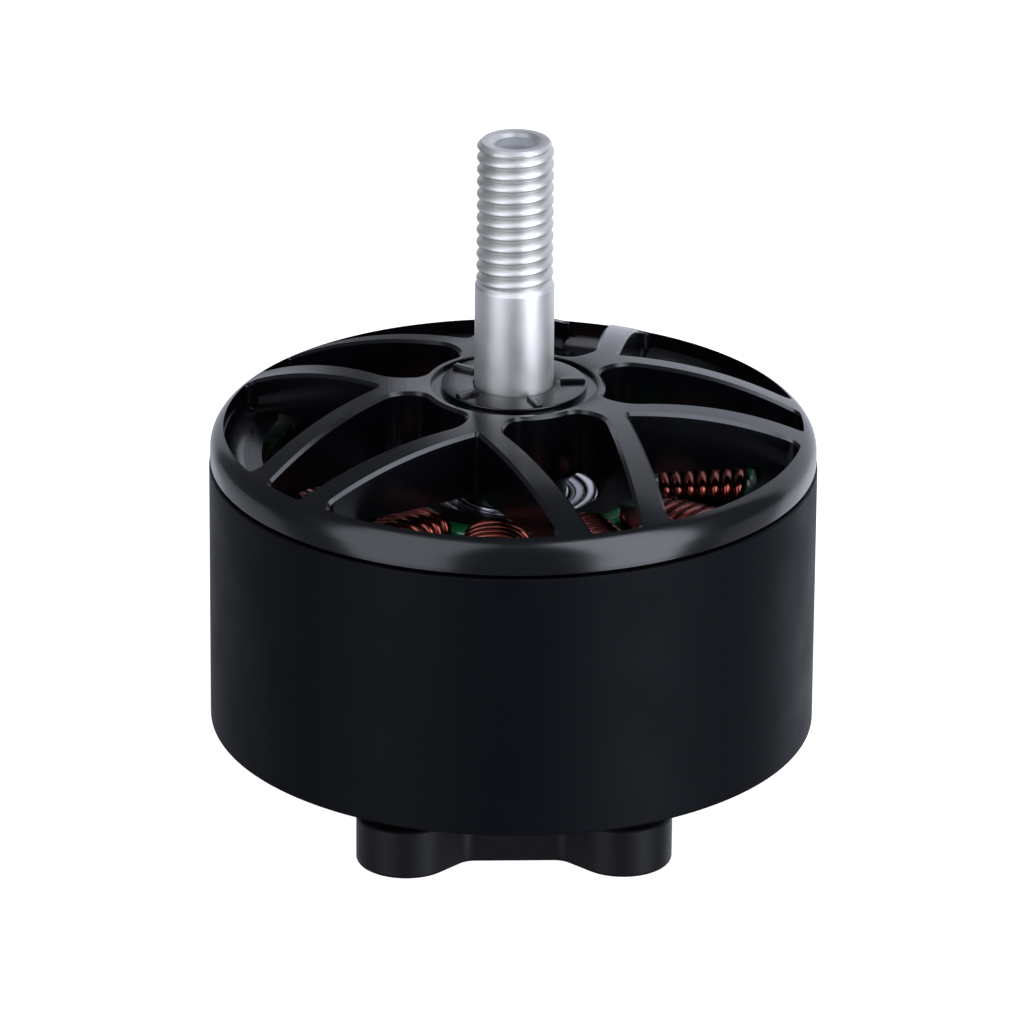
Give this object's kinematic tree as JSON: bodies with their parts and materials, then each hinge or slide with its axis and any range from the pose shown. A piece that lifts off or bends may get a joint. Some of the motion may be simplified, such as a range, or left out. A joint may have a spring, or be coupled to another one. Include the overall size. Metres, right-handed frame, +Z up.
{
  "type": "brushless outrunner motor",
  "caption": "Brushless outrunner motor: a spoked black bell with a hollow threaded shaft turns round a wound stator on a lugged base.",
  "frame": {"origin": "centre of the base's mounting face, on the shaft's axis", "axes": "+Z runs up the shaft towards the propeller; X and Y run across the base's flat waists, with the lugs on the diagonals and the lead exit towards +Y"},
  "size_m": [0.0384, 0.0384, 0.046],
  "materials": {
    "anodised_cap": "black anodised, satin, with fine turning lines",
    "anodised_base": "black anodised, satin",
    "coated_ring": "matte black coating on steel",
    "magnet": "glossy black epoxy coating",
    "shaft_steel": "satin, polished on the thread",
    "race_steel": "ground and polished steel",
    "shield_steel": "pressed sheet steel",
    "cage_steel": "polished balls in a steel cage",
    "stator_coating": "glossy green powder coat over laminated steel",
    "copper_wire": "red-brown enamelled copper wire",
    "spring_steel": "dark spring steel"
  },
  "bodies": {
    "stator": {"base": "anodised_base", "stator_core": "stator_coating", "winding_01": "copper_wire", "winding_02": "copper_wire", "winding_03": "copper_wire", "winding_04": "copper_wire", "winding_05": "copper_wire", "winding_06": "copper_wire", "winding_07": "copper_wire", "winding_08": "copper_wire", "winding_09": "copper_wire", "winding_10": "copper_wire", "winding_11": "copper_wire", "winding_12": "copper_wire", "upper_bearing_outer_race": "race_steel", "upper_bearing_top_shield": "shield_steel", "upper_bearing_bottom_shield": "shield_steel", "lower_bearing_outer_race": "race_steel", "lower_bearing_top_shield": "shield_steel", "lower_bearing_bottom_shield": "shield_steel"},
    "rotor": {"bell_cap": "anodised_cap", "flux_ring": "coated_ring", "magnet_01": "magnet", "magnet_02": "magnet", "magnet_03": "magnet", "magnet_04": "magnet", "magnet_05": "magnet", "magnet_06": "magnet", "magnet_07": "magnet", "magnet_08": "magnet", "magnet_09": "magnet", "magnet_10": "magnet", "magnet_11": "magnet", "magnet_12": "magnet", "magnet_13": "magnet", "magnet_14": "magnet", "shaft": "shaft_steel", "upper_bearing_inner_race": "race_steel", "lower_bearing_inner_race": "race_steel", "retaining_clip": "spring_steel", "shim_washer": "spring_steel"},
    "upper_cage": {"upper_bearing_ball_cage": "cage_steel"},
    "lower_cage": {"lower_bearing_ball_cage": "cage_steel"}
  },
  "joints": [
    {"name": "rotor_spin", "type": "hinge", "parent": "stator", "child": "rotor", "pos_m": [0, 0, 0.0158], "axis": [0, 0, 1], "continuous": true},
    {"name": "upper_cage_spin", "type": "hinge", "parent": "stator", "child": "upper_cage", "pos_m": [0, 0, 0.02], "axis": [0, 0, 1], "continuous": true},
    {"name": "lower_cage_spin", "type": "hinge", "parent": "stator", "child": "lower_cage", "pos_m": [0, 0, 0.0042], "axis": [0, 0, 1], "continuous": true}
  ],
  "couplings": [
    {"joint": "upper_cage_spin", "follows": "rotor_spin", "ratio": 0.38984},
    {"joint": "lower_cage_spin", "follows": "rotor_spin", "ratio": 0.38984}
  ]
}
